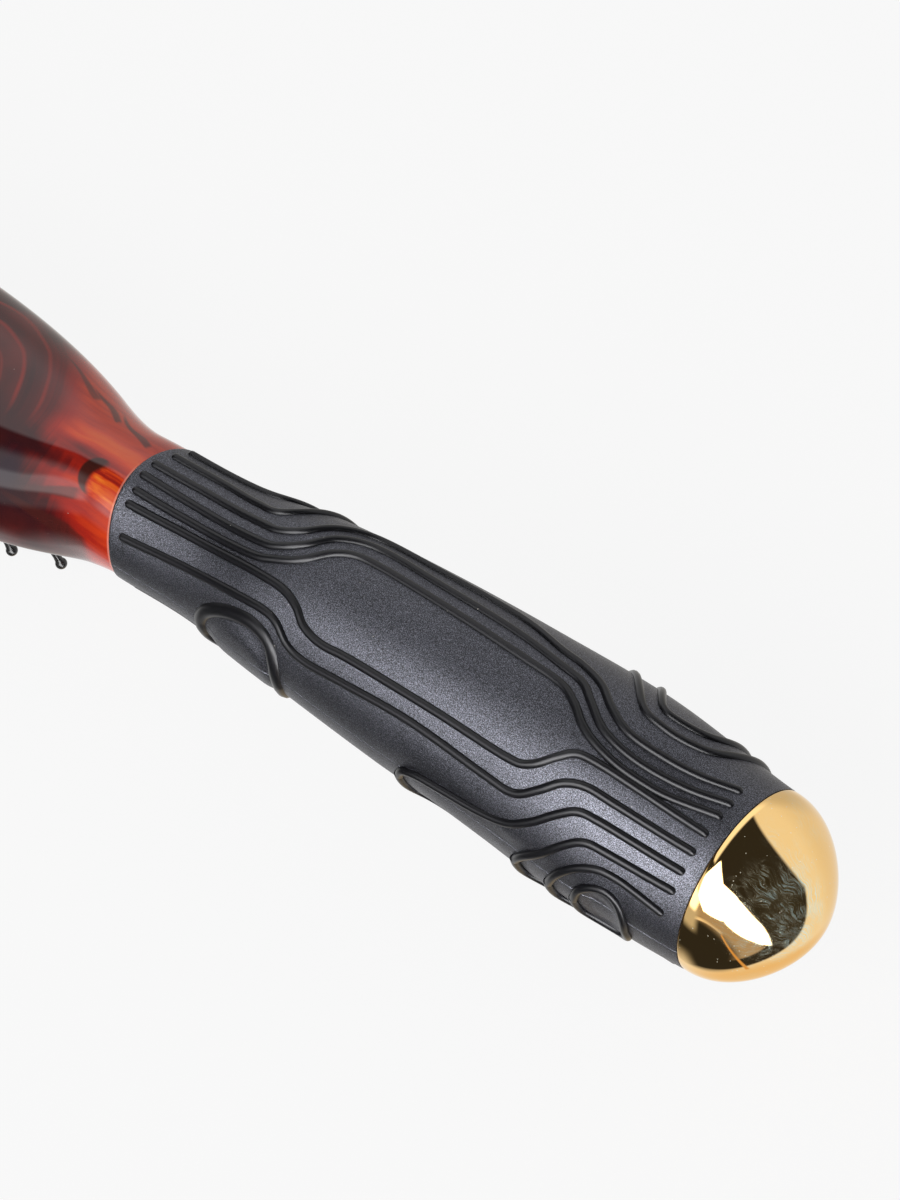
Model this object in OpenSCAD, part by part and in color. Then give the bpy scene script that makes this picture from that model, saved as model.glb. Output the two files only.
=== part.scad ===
// Detangling brush: an oval cushion brush with ball-tipped pins, a moulded
// head and core in one piece, a rubber grip over the core and a domed end cap.
// X runs along the handle towards the cap, Z points out of the brush's back,
// and the lowest pin tips stand on Z = 0.

/* [Grip] */
// Length of the rubber grip
grip_l = 111.4; // [95:0.1:130]
// Diameter of the grip where it meets the neck
grip_neck_d = 22.1; // [20:0.1:25]
// Diameter of the grip at its belly
grip_belly_d = 32.9; // [30:0.1:37]
// Diameter of the grip and the cap where they meet
grip_end_d = 30.3; // [28:0.1:34]
// How far the grip's middle line arches towards the back
grip_arch = 4.3; // [0:0.1:6]
// Thickness of the rubber over the core
rubber_t = 2.6; // [1.5:0.1:3.2]
// How far the grip's front edge bows forward at front and back
edge_bow = 1.15; // [0:0.05:2]
// Rounding of the rubber's front edge
edge_round = 0.4; // [0.2:0.05:0.8]

/* [Head] */
// Length from the grip's edge to the tip of the head
head_l = 110.6; // [95:0.1:125]
// Width of the head
head_w = 38; // [35:0.1:48]
// Height of the head's back above the grip's axis
head_top = 9; // [7:0.1:10]
// Depth of the head's flat front below the grip's axis
rim_drop = 10; // [8:0.1:10.5]
// Height of the widest line of the head, below the grip's axis
waist_drop = 4.6; // [3:0.1:6]
// Diameter of the neck
neck_d = 21.6; // [19:0.1:22]
// Length over which the neck turns from round to the head's flat front
neck_blend = 16.6; // [12:0.1:24]

/* [Core] */
// Diameter of the blind bore along the core
core_bore_d = 4.6; // [3:0.1:8]
// How far the blind bore runs past the grip into the neck
core_bore_neck = 7.5; // [4:0.1:9]
// Step down from the core to the plug that the end cap goes on
plug_step = 0.3; // [0.1:0.05:1]
// Length of the plug that the end cap goes on
plug_l = 4.5; // [3:0.1:6]

/* [End cap] */
// Length of the straight part of the cap before its dome
cap_skirt = 0.5; // [0.2:0.1:3]
// Length of the cap's dome
dome_l = 14; // [12:0.1:17]
// Wall of the hollow cap at its tip
cap_wall = 1.8; // [1.2:0.1:3]
// Glue gap between the plug and the cap
glue_gap = 0.05; // [0.02:0.01:0.1]

/* [Cushion] */
// Width of the rim beside the cushion
rim_side = 2.9; // [2.5:0.1:5]
// Width of the rim at the tip of the head
rim_tip = 4.7; // [4:0.1:8]
// Length from the grip's edge to the cushion
rim_tail = 13.5; // [12.5:0.1:18]
// Depth of the pocket behind the cushion
pocket_depth = 5.5; // [5:0.1:8]
// Width of the shoulder that carries the cushion's edge
shoulder_w = 1.2; // [0.8:0.1:1.5]
// Gap between the cushion's edge and the pocket
pad_gap = 0.15; // [0.05:0.01:0.3]
// How far the cushion's crown stands out of the rim
pad_crown = 3; // [2.6:0.1:4]
// Thickness of the cushion's membrane
membrane_t = 1.3; // [1:0.1:1.6]
// Thickness of the cushion's edge
pad_edge_t = 2; // [1.6:0.1:2.4]
// Diameter of the air vent in the cushion
vent_d = 1.6; // [1:0.1:1.8]

/* [Pins] */
// Number of rows of pins across the head
pin_rows = 21; // [11:2:25]
// Length of a pin outside the cushion
pin_l = 13; // [11:0.1:17]
// Diameter of a pin at the cushion
pin_root_d = 1.7; // [1.4:0.05:2]
// Diameter of a pin just behind its ball
pin_neck_d = 1.15; // [0.9:0.05:1.3]
// Diameter of a pin's ball tip
ball_d = 1.9; // [1.6:0.05:2.4]
// Diameter of the foot that holds a pin behind the membrane
foot_d = 2.6; // [2.2:0.1:3]
// Thickness of the foot
foot_t = 0.8; // [0.6:0.05:1]
// Wished distance between neighbouring pins of a row
pin_pitch = 7.7; // [6.5:0.1:9]
// Distance from the cushion's end to the first and last row
pin_end_inset = 8; // [6.4:0.1:9]
// Distance from the cushion's side to the outermost pins
pin_side_inset = 3.9; // [3.8:0.1:6]
// Lean of the pins at the cushion's ends, in degrees
pin_splay = 20; // [0:1:25]

/* [Hidden] */
// Sides of a ring of the faceted shells, and rings of the head and the grip
shell_sides = 48;
head_rings = 26;
grip_rings = 24;
// Degrees between the bands of the cap's dome, and how much the dome draws in more than a ball
dome_step = 5;
dome_taper = 0.18;
// Overrun of a cut past the face that it opens
overrun = 1;

// Stations along the grip, and the share of the swell and of the arch at each
grip_station_share = [0, 0.14, 0.28, 0.45, 0.62, 0.8, 1];
grip_swell_share = [0, 0.04, 0.39, 0.67, 0.855, 1];
grip_arch_share = [0, 0.33, 0.9, 1, 0.91, 0.58, 0];
// Half width of the field of pins at its last rows, against the middle
row_end_share = 0.6;
// Shape numbers: roundness of the cushion's plan and crown, of the head's corners, and of
// the head's outline, back and front edge where they close at its tip
plan_power = 2.2;
crown_power = 3;
corner_power = 5;
tip_power = 0.75;
back_power = 0.7;
edge_power = 0.35;
// Radius over which the neck and the head melt into each other
neck_melt = head_w / 14;
back_melt = head_top / 2;
// Length over which the bow of the grip's edge fades out
bow_fade = 8 * grip_l / 111.4;

grip_neck_r = grip_neck_d / 2;
grip_end_r = grip_end_d / 2;
swell = (grip_belly_d - grip_neck_d) / 2;
neck_r = neck_d / 2;
head_a = head_l / 2;
head_r = head_w / 2;
pad_a = (head_l - rim_tail - rim_tip) / 2;
pad_b = head_r - rim_side;
pad_x = -rim_tail - pad_a;
cap_l = cap_skirt + dome_l;
plug_r = grip_end_r - rubber_t - plug_step;
row_reach = pad_a - pin_end_inset;
field_b = pad_b - pin_side_inset;
ball_r = ball_d / 2;

// Grip radius and middle line at each station
station_r = concat([for (s = grip_swell_share) grip_neck_r + s * swell], [grip_end_r]);
station_z = [for (s = grip_arch_share) s * grip_arch];

function smooth(t) = let (c = max(0, min(1, t))) c * c * (3 - 2 * c);
function mix(a, b, t) = a + (b - a) * t;

// Larger of two values, rounded over a band k where they cross
function soft_max(a, b, k) = let (h = max(k - abs(a - b), 0)) max(a, b) + h * h / (4 * k);

// Smooth curve through stations xs with values ys
function slope_at(xs, ys, i) =
    let (a = max(i - 1, 0), b = min(i + 1, len(xs) - 1)) (ys[b] - ys[a]) / (xs[b] - xs[a]);
function span_at(xs, s) = max([for (i = [0:len(xs) - 2]) xs[i] <= s ? i : 0]);
function curve(xs, ys, s, flat_ends = false) =
    let (
        i = span_at(xs, s),
        h = xs[i + 1] - xs[i],
        t = (s - xs[i]) / h,
        m0 = flat_ends && i == 0 ? 0 : slope_at(xs, ys, i),
        m1 = flat_ends && i == len(xs) - 2 ? 0 : slope_at(xs, ys, i + 1)
    )
    (2 * pow(t, 3) - 3 * pow(t, 2) + 1) * ys[i] + (pow(t, 3) - 2 * pow(t, 2) + t) * h * m0
    + (3 * pow(t, 2) - 2 * pow(t, 3)) * ys[i + 1] + (pow(t, 3) - pow(t, 2)) * h * m1;

function grip_r(x) = curve(grip_station_share, station_r, x / grip_l);
function grip_z(x) = curve(grip_station_share, station_z, x / grip_l, true);

// Forward and backward bow of the edge between neck and grip, at angle a of a ring
function bow(x, a) = edge_bow * cos(2 * a) * (1 - smooth(abs(x) / bow_fade));

function ring_angles(n) = [for (i = [0:n - 1]) 360 * i / n];

// One ring of the grip or of the core inside it
function grip_ring(x, r) =
    [for (a = ring_angles(shell_sides)) [x + bow(x, a), r * cos(a), grip_z(x) + r * sin(a)]];

// One ring of the head and neck, where phi runs from 0 at the grip to 180 at the tip
function head_ring(phi) =
    let (
        x = -head_a * (1 - cos(phi)),
        e = sin(phi),
        w = soft_max(head_r * pow(e, phi < 90 ? 1 : tip_power), phi < 90 ? neck_r : 0, neck_melt),
        front = smooth(-x / neck_blend),
        mid = -waist_drop * front,
        neck_top = phi < 90 ? neck_r + x * (neck_r - head_top + back_melt) / head_a : -waist_drop,
        back_top = -waist_drop + (head_top + waist_drop) * pow(e, back_power),
        top = phi < 90 ? soft_max(back_top, neck_top, back_melt) : back_top,
        low = phi < 90
            ? mix(-neck_r, -rim_drop, front)
            : -waist_drop - (rim_drop - waist_drop) * pow(e, edge_power),
        n = mix(2, corner_power, front)
    )
    [for (a = ring_angles(shell_sides))
        let (c = cos(a), s = sin(a))
        s >= 0
            ? [x + bow(x, a), w * c, mid + (top - mid) * s]
            : [x + bow(x, a), w * sign(c) * pow(abs(c), 2 / n), mid - (mid - low) * pow(-s, 2 / n)]];

function middle_of(ring) = [for (k = [0:2]) (max([for (p = ring) p[k]]) + min([for (p = ring) p[k]])) / 2];

// Solid through a row of rings, closed by a fan at each end or, as a tube wall, onto itself.
// The first fan meets at tip, or in the middle of its ring.
module loft(rings, tube = false, tip = []) {
    m = len(rings);
    n = len(rings[0]);
    last = tube ? m - 1 : m - 2;
    sides = [
        for (i = [0:last], j = [0:n - 1])
            let (k = (i + 1) % m, l = (j + 1) % n)
            each [[i * n + j, k * n + j, k * n + l], [i * n + j, k * n + l, i * n + l]]
    ];
    fans = tube ? [] : [
        for (j = [0:n - 1])
            let (l = (j + 1) % n)
            each [[m * n, j, l], [m * n + 1, (m - 1) * n + l, (m - 1) * n + j]]
    ];
    corners = [for (r = rings) each r];
    ends = tube ? [] : [len(tip) > 0 ? tip : middle_of(rings[0]), middle_of(rings[m - 1])];
    polyhedron(points = concat(corners, ends), faces = concat(sides, fans), convexity = 6);
}

// Plan of the cushion, drawn in by inset
function plan_point(a, inset = 0) =
    [pad_x + (pad_a - inset) * sign(cos(a)) * pow(abs(cos(a)), 2 / plan_power),
     (pad_b - inset) * sign(sin(a)) * pow(abs(sin(a)), 2 / plan_power)];
function plan(inset = 0) = [for (a = ring_angles(shell_sides)) plan_point(a, inset)];

// How far out a point of the plan lies, from 0 in the middle to 1 at the outline
function plan_reach(x, y) =
    pow(pow(abs(x) / pad_a, plan_power) + pow(abs(y) / pad_b, plan_power), 1 / plan_power);
function pad_z(reach) = -rim_drop - pad_crown * (1 - pow(reach, crown_power));

// Rows of pins: half width of a row, its number of pins and their places from the pad's middle
function row_x(i) = row_reach * (1 - 2 * i / (pin_rows - 1));
function row_half(i) =
    field_b * sqrt(1 - (1 - pow(row_end_share, 2)) * pow(row_x(i) / row_reach, 2));
function row_gaps(i) = max(1, round(2 * row_half(i) / pin_pitch));
function row_y(i) =
    let (step = 2 * row_half(i) / row_gaps(i), odd = i % 2)
    [for (k = [0:row_gaps(i) - odd]) -row_half(i) + (k + odd / 2) * step];

// Height of a pin's foot on the cushion, its lean outwards, and the height of its tip
function foot_z(i, y) = pad_z(plan_reach(row_x(i), y));
function lean(i, y) = pin_splay * norm([row_x(i), y]) / row_reach;
function tip_z(i, y) = foot_z(i, y) - (pin_l - ball_r) * cos(lean(i, y)) - ball_r;

// Place of the model's origin: under the middle of its length, at the lowest pin tip
lift = -min([for (i = [0:pin_rows - 1]) each [for (y = row_y(i)) tip_z(i, y)]]);
shift = (head_l - grip_l - cap_l) / 2;

module place() {
    translate([shift, 0, lift])
        children();
}

// A round bar along the handle from x = from to x = to
module along(from, to, d) {
    translate([from, 0, 0])
        rotate([0, 90, 0])
            cylinder(h = to - from, d = d, $fn = 64);
}

// Head, neck and core, moulded in one piece
module brush_body() {
    head = [for (i = [0:head_rings - 1]) head_ring(180 * (head_rings - i) / (head_rings + 1))];
    neck_end = head_ring(0);
    core = [for (i = [0:grip_rings]) let (x = grip_l * i / grip_rings) grip_ring(x, grip_r(x) - rubber_t)];
    color("#7a2416")
        place() {
            difference() {
                union() {
                    loft(concat(head, [neck_end], core), tip = [-head_l, 0, -waist_drop]);
                    along(grip_l - overrun, grip_l + plug_l, 2 * plug_r);
                }
                pocket();
                along(-core_bore_neck, grip_l + plug_l + overrun, core_bore_d);
                translate([-core_bore_neck, 0, 0])
                    sphere(d = core_bore_d, $fn = 64);
            }
        }
}

// Space in the head for the cushion's edge and for the air behind it
module pocket() {
    translate([0, 0, -rim_drop - overrun])
        linear_extrude(overrun + pad_edge_t)
            polygon(plan());
    translate([0, 0, -rim_drop - overrun])
        linear_extrude(overrun + pocket_depth)
            polygon(plan(shoulder_w));
}

// Rubber grip moulded over the core
module grip_sleeve() {
    x_mid = [for (i = [1:grip_rings - 1]) grip_l * i / grip_rings];
    outer = concat(
        [grip_ring(0, grip_neck_r - edge_round), grip_ring(edge_round, grip_r(edge_round))],
        [for (x = x_mid) grip_ring(x, grip_r(x))],
        [grip_ring(grip_l, grip_end_r)]
    );
    inner = [for (i = [grip_rings:-1:0]) let (x = grip_l * i / grip_rings) grip_ring(x, grip_r(x) - rubber_t)];
    color("#2b2c2e")
        place()
            loft(concat(outer, inner), tube = true);
}

// Share of the dome's full radius at angle t between its rim and its tip
function dome_share(t) = cos(t) * (1 - dome_taper * pow(sin(t), 2));

// Hollow domed cap on the plug
module end_cap() {
    hole_r = plug_r + glue_gap;
    hole_l = plug_l + glue_gap;
    hollow_l = cap_l - cap_wall - hole_l;
    outside = [for (t = [0:dome_step:90]) [grip_end_r * dome_share(t), cap_skirt + dome_l * sin(t)]];
    inside = [for (t = [90:-dome_step:0]) [hole_r * dome_share(t), hole_l + hollow_l * sin(t)]];
    color("#d9ae4f")
        place()
            translate([grip_l, 0, 0])
                rotate([0, 90, 0])
                    rotate_extrude($fn = 96)
                        polygon(concat([[grip_end_r, 0]], outside, inside, [[hole_r, 0]]));
}

// Rubber cushion: a crowned membrane with a thicker edge that sits on the pocket's shoulder
module cushion() {
    front_reach = [0.2, 0.4, 0.58, 0.72, 0.82, 0.89, 0.94, 0.975, 1];
    back_reach = [0.82, 0.65, 0.4, 0.2];
    edge_z = -rim_drop + pad_edge_t;
    front = [for (q = front_reach) pad_ring(q, pad_z(q))];
    edge = [pad_ring(1, edge_z), pad_ring(1 - shoulder_w / pad_b, edge_z)];
    back = [for (q = back_reach) pad_ring(q, pad_z(q) + membrane_t)];
    color("#1d1d1f")
        place()
            difference() {
                loft(concat(front, edge, back));
                translate([pad_x, 0, -rim_drop - pad_crown - overrun])
                    cylinder(h = pad_crown + membrane_t + 2 * overrun, d = vent_d, $fn = 24);
            }
}
function pad_ring(reach, z) =
    [for (p = plan(pad_gap)) [pad_x + (p[0] - pad_x) * reach, p[1] * reach, z]];

// One pin, its membrane face at the origin and its ball below
module pin() {
    translate([0, 0, ball_r - pin_l])
        cylinder(h = pin_l - ball_r + membrane_t, d1 = pin_neck_d, d2 = pin_root_d, $fn = 24);
    translate([0, 0, ball_r - pin_l])
        sphere(r = ball_r, $fn = 24);
    translate([0, 0, membrane_t])
        cylinder(h = foot_t, d = foot_d, $fn = 24);
}

// One row of pins across the cushion
module pin_row(i) {
    color("#141416")
        place()
            for (y = row_y(i))
                translate([pad_x + row_x(i), y, foot_z(i, y)])
                    rotate([0, -lean(i, y), atan2(y, row_x(i))])
                        pin();
}

function row_name(i) = str("pin_row_", i < 9 ? "0" : "", i + 1);

brush_body();
grip_sleeve();
end_cap();
cushion();
for (i = [0:pin_rows - 1]) {
    pin_row(i);
}
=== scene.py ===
import math

import bmesh
import bpy
import numpy as np
from mathutils import Matrix, Vector


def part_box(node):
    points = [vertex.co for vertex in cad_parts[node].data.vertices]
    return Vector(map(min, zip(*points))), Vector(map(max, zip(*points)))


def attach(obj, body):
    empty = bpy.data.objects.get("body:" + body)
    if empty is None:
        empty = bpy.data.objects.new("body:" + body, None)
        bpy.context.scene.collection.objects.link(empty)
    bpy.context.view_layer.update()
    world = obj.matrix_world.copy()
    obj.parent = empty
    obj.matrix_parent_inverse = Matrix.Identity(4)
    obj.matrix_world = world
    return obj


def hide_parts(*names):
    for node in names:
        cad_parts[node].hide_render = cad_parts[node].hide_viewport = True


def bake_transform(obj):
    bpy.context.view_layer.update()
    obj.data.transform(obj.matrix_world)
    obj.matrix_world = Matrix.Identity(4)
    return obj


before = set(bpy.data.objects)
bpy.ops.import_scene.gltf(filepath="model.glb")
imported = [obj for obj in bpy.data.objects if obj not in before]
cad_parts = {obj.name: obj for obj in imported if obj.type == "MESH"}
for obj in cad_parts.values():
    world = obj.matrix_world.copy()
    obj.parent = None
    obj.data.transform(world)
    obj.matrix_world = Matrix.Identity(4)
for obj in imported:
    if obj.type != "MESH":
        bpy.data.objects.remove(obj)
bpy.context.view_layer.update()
MM = 0.001

# Sizes in millimetres, in the handle's own frame: x from the grip's front edge towards the
# cap, z from the handle's axis out of the back. The frame gives the place and the round sizes.
cap_low, cap_high = (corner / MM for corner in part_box("end_cap"))
body_low, body_high = (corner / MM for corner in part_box("brush_body"))
GRIP_L = 111.4
GRIP_END_R = (cap_high.z - cap_low.z) / 2
CAP_L = cap_high.x - cap_low.x
HEAD_L = cap_low.x - GRIP_L - body_low.x
HEAD_R = (body_high.y - body_low.y) / 2
ORIGIN = np.array([cap_low.x - GRIP_L, 0, (cap_low.z + cap_high.z) / 2])

# Grip
GRIP_NECK_R = 11.05
GRIP_BELLY_R = 16.45
GRIP_ARCH = 4.3
RUBBER_T = 2.6
EDGE_BOW, EDGE_BOW_L = 1.15, 8
EDGE_ROUND = 0.4

# Head and neck. The powers say how fast width, back and rim close towards the tip, and ROUND and
# SQUARE how full the corners between side and front are at the neck and beyond it.
HEAD_TOP = 9
RIM_DROP = 10
WAIST_DROP = 4.6
NECK_R = 10.8
NECK_BLEND = 16.6
TIP_POWER, BACK_POWER, RIM_POWER = 0.75, 0.7, 0.35
ROUND, SQUARE = 2, 5
BACK_MELT, SIDE_MELT = HEAD_TOP / 2, HEAD_R / 7

# Core with its bore and plug, and the cap
CORE_BORE_R = 2.3
CORE_BORE_NECK = 7.5
PLUG_STEP = 0.3
PLUG_R = GRIP_END_R - RUBBER_T - PLUG_STEP
PLUG_L = 4.5
PLUG_GAP = 0.05
CAP_SKIRT, CAP_WALL, CAP_LIP = 0.5, 1.8, 0.3
DOME_TAPER = 0.18

# Pocket and cushion
RIM_SIDE, RIM_TIP, RIM_TAIL = 2.9, 4.7, 13.5
POCKET_DEPTH = 5.5
SHOULDER_W = 1.2
PAD_A = (HEAD_L - RIM_TAIL - RIM_TIP) / 2
PAD_B = HEAD_R - RIM_SIDE
PAD_X = -RIM_TAIL - PAD_A
PAD_GAP = 0.15
PAD_CROWN = 3
PAD_EDGE_T = 2
PLAN_POWER = 2.2
CROWN_POWER = 3
MEMBRANE_T = 1.3
SOCKET_RISE, SOCKET_W = 0.35, 0.9
VENT_R = 0.8
VENT_ENDS = (-14, -8)

# Pins. The neck begins above the ball's middle, a little wider at first, and flares to the root.
PIN_ROWS = 21
PIN_L = 13
PIN_PITCH = 7.7
PIN_END_INSET, PIN_SIDE_INSET = 8, 3.9
PIN_SPLAY = math.radians(20)
ROW_END_SHARE = 0.6
PIN_ROOT_R, PIN_NECK_R, BALL_R = 0.85, 0.575, 0.95
NECK_RISE, NECK_EXTRA_R, NECK_START = 1.25, 0.06, 1.7
FLARE_L, FLARE_R = 1, 0.02
FOOT_R, FOOT_T, FOOT_EDGE = 1.3, 0.8, 0.1

# Stations along the grip, and its swell and its arch there, as shares
STATION_SHARE = [0, 0.14, 0.28, 0.45, 0.62, 0.8, 1]
SWELL_SHARE = [0, 0.04, 0.39, 0.67, 0.855, 1]
ARCH_SHARE = [0, 0.33, 0.9, 1, 0.91, 0.58, 0]

# How finely the surfaces are cut up: sides round a ring, rings along a loft, angles along an arc,
# shares of the cushion's reach at which its rings lie, and the angle from which an edge is sharp
HEAD_SIDES, HEAD_RINGS, CORE_RINGS = 240, 120, 24
PLAN_SIDES, VENT_SIDES, BORE_SIDES, CAP_SIDES, PIN_SIDES, CORD_SIDES = 144, 32, 48, 192, 28, 12
SLEEVE_RINGS, LINING_RINGS, CAP_RINGS, CURVE_RINGS = 160, 12, 60, 6
BORE_ARC = np.linspace(0.1, math.pi / 2, 12)
BALL_ARC = np.linspace(0.15, 2.35, 14)
CORD_ARC = np.linspace(0.25, math.pi / 2, CURVE_RINGS)
FRONT_REACHES = [*np.linspace(0.02, 0.86, 90), *np.linspace(0.87, 1, 26)]
BACK_REACHES = np.linspace(0.82, 0.02, 24)
CREASE, PIN_CREASE = 35, 50


def smooth(t):
    c = np.clip(t, 0, 1)
    return c * c * (3 - 2 * c)


def mix(a, b, t):
    return a + (b - a) * t


def grey(level):
    return (level,) * 3


def heading(side, up=0):
    """Unit vector at the degrees from +X towards +Y and the degrees above the floor."""
    side, up = math.radians(side), math.radians(up)
    return np.array([math.cos(up) * math.cos(side), math.cos(up) * math.sin(side), math.sin(up)])


def soft_max(a, b, k):
    h = np.maximum(k - abs(a - b), 0)
    return np.maximum(a, b) + h * h / (4 * k)


def curve(xs, ys, s, flat_ends=False):
    """Smooth curve through stations xs with values ys, the same one that the solids follow."""
    xs, ys = np.array(xs, float), np.array(ys, float)
    last = len(xs) - 1
    before = np.maximum(np.arange(last + 1) - 1, 0)
    after = np.minimum(np.arange(last + 1) + 1, last)
    slopes = (ys[after] - ys[before]) / (xs[after] - xs[before])
    if flat_ends:
        slopes[0] = slopes[-1] = 0
    i = np.clip(np.searchsorted(xs, s, side="right") - 1, 0, last - 1)
    h = xs[i + 1] - xs[i]
    t = (s - xs[i]) / h
    return (
        (2 * t**3 - 3 * t**2 + 1) * ys[i]
        + (t**3 - 2 * t**2 + t) * h * slopes[i]
        + (3 * t**2 - 2 * t**3) * ys[i + 1]
        + (t**3 - t**2) * h * slopes[i + 1]
    )


def grip_r(x):
    radii = [mix(GRIP_NECK_R, GRIP_BELLY_R, s) for s in SWELL_SHARE] + [GRIP_END_R]
    return curve(STATION_SHARE, radii, x / GRIP_L)


def grip_z(x):
    return GRIP_ARCH * curve(STATION_SHARE, ARCH_SHARE, x / GRIP_L, flat_ends=True)


def bow(x, a):
    """How far a ring's edge bows forwards at front and back, which fades out along the grip."""
    return EDGE_BOW * np.cos(2 * a) * (1 - smooth(abs(x) / EDGE_BOW_L))


def grip_ring(x, r, a):
    return np.stack([x + bow(x, a), r * np.cos(a), grip_z(x) + r * np.sin(a)], -1)


def head_ring(phi, a):
    """One ring of the head and neck: phi runs from 0 at the grip to pi at the tip."""
    half = HEAD_L / 2
    near = phi < math.pi / 2
    x = -half * (1 - math.cos(phi))
    e = math.sin(phi)
    w = soft_max(HEAD_R * e ** (1 if near else TIP_POWER), NECK_R if near else 0, SIDE_MELT)
    front = smooth(-x / NECK_BLEND)
    mid = -WAIST_DROP * front
    back_top = -WAIST_DROP + (HEAD_TOP + WAIST_DROP) * e**BACK_POWER
    neck_top = NECK_R + x * (NECK_R - HEAD_TOP + BACK_MELT) / half
    top = soft_max(back_top, neck_top, BACK_MELT) if near else back_top
    closing_low = -WAIST_DROP - (RIM_DROP - WAIST_DROP) * e**RIM_POWER
    low = mix(-NECK_R, -RIM_DROP, front) if near else closing_low
    power = 2 / mix(ROUND, SQUARE, front)
    c, s = np.cos(a), np.sin(a)
    upper = s >= 0
    y = np.where(upper, w * c, w * np.sign(c) * abs(c) ** power)
    z = np.where(upper, mid + (top - mid) * s, mid - (mid - low) * abs(s) ** power)
    return np.stack([x + bow(x, a), y, z], -1)


def ring_angles(sides):
    return 2 * math.pi * np.arange(sides) / sides


def quarter(count):
    """Angles from 0 to a right angle."""
    return np.linspace(0, math.pi / 2, count)


def circle(x, r, a):
    """Ring about the handle's axis."""
    return np.stack([np.full_like(a, x), r * np.cos(a), r * np.sin(a)], -1)


def level_circle(x, z, r, a):
    """Ring about an upright axis on the handle's mirror plane."""
    return np.stack([x + r * np.cos(a), r * np.sin(a), np.full_like(a, z)], -1)


def grid_faces(rows, sides, closed=False):
    """Quads between successive rings, and from the last to the first where closed."""
    faces = []
    for i in range(rows if closed else rows - 1):
        k = (i + 1) % rows
        for j in range(sides):
            m = (j + 1) % sides
            faces.append((i * sides + j, k * sides + j, k * sides + m, i * sides + m))
    return faces


def shell(rings, first=None, last=None, tube=False):
    """Points and faces of a closed surface through rings, with a fan to a point at each end."""
    sides = len(rings[0])
    points = np.concatenate(rings)
    faces = grid_faces(len(rings), sides, tube)
    if not tube:
        start, base = len(points), (len(rings) - 1) * sides
        points = np.concatenate([points, [first, last]])
        faces += [(start, j, (j + 1) % sides) for j in range(sides)]
        faces += [(start + 1, base + (j + 1) % sides, base + j) for j in range(sides)]
    return points, faces


def add(name, data):
    obj = bpy.data.objects.new(name, data)
    bpy.context.scene.collection.objects.link(obj)
    return obj


def placed(place, *axes):
    """Matrix that puts an object at a place, turned to three axes."""
    return Matrix.Translation(Vector(place)) @ Matrix(axes).transposed().to_4x4()


def make_object(name, shells, material=None):
    """Mesh object of closed surfaces, given in millimetres in the handle's frame."""
    points, faces = [], []
    for corners, sides in shells:
        faces += [tuple(len(points) + k for k in face) for face in sides]
        points += [tuple(p) for p in (corners + ORIGIN) * MM]
    mesh = bpy.data.meshes.new(name)
    mesh.from_pydata(points, [], faces)
    built = bmesh.new()
    built.from_mesh(mesh)
    bmesh.ops.recalc_face_normals(built, faces=built.faces)
    built.to_mesh(mesh)
    built.free()
    obj = add(name, mesh)
    if material:
        obj.data.materials.append(material)
    return obj


def shade(obj, angle=CREASE):
    """Smooth shading, with a crease wherever two faces meet at more than the angle."""
    built = bmesh.new()
    built.from_mesh(obj.data)
    for face in built.faces:
        face.smooth = True
    for edge in built.edges:
        flat = edge.calc_face_angle(0) < math.radians(angle)
        edge.smooth = flat and len(edge.link_faces) == 2
    built.to_mesh(obj.data)
    built.free()


def cut(obj, *cutters):
    """Takes the cutters out of obj and deletes them."""
    for cutter in cutters:
        step = obj.modifiers.new("cut", "BOOLEAN")
        step.operation, step.solver, step.object = "DIFFERENCE", "EXACT", cutter
        bpy.context.view_layer.objects.active = obj
        bpy.ops.object.modifier_apply(modifier=step.name)
        bpy.data.objects.remove(cutter)


def plan_ring(z, inset=0, reach=1):
    """Outline of the cushion in the head's flat front, at one height."""
    a = ring_angles(PLAN_SIDES)
    c, s = np.cos(a), np.sin(a)
    x = PAD_X + reach * (PAD_A - inset) * np.sign(c) * abs(c) ** (2 / PLAN_POWER)
    y = reach * (PAD_B - inset) * np.sign(s) * abs(s) ** (2 / PLAN_POWER)
    return np.stack([x, y, np.full_like(x, z)], -1)


def turned(profile, first_x, last_x, sides):
    """Surface turned about the handle's axis from (x, radius), closed on it at two places."""
    a = ring_angles(sides)
    rings = [circle(x, r, a) for x, r in profile]
    return shell(rings, (first_x, 0, 0), (last_x, 0, 0))


# How far a cutter reaches past the surface it opens
OVERRUN = 1


def prism(inset, low, high):
    rings = [plan_ring(z, inset) for z in (low, high)]
    return make_object("cutter", [shell(rings, (PAD_X, 0, low), (PAD_X, 0, high))])


def bore_cutter():
    """Blind bore along the core, with a round end in the neck."""
    tip = [(CORE_BORE_R * math.cos(t), CORE_BORE_R * math.sin(t)) for t in BORE_ARC]
    profile = [(-CORE_BORE_NECK - ahead, r) for ahead, r in tip]
    profile.append((GRIP_L + PLUG_L + OVERRUN, CORE_BORE_R))
    tip_x, end_x = -CORE_BORE_NECK - CORE_BORE_R, profile[-1][0]
    return make_object("cutter", [turned(profile, tip_x, end_x, BORE_SIDES)])


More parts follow.
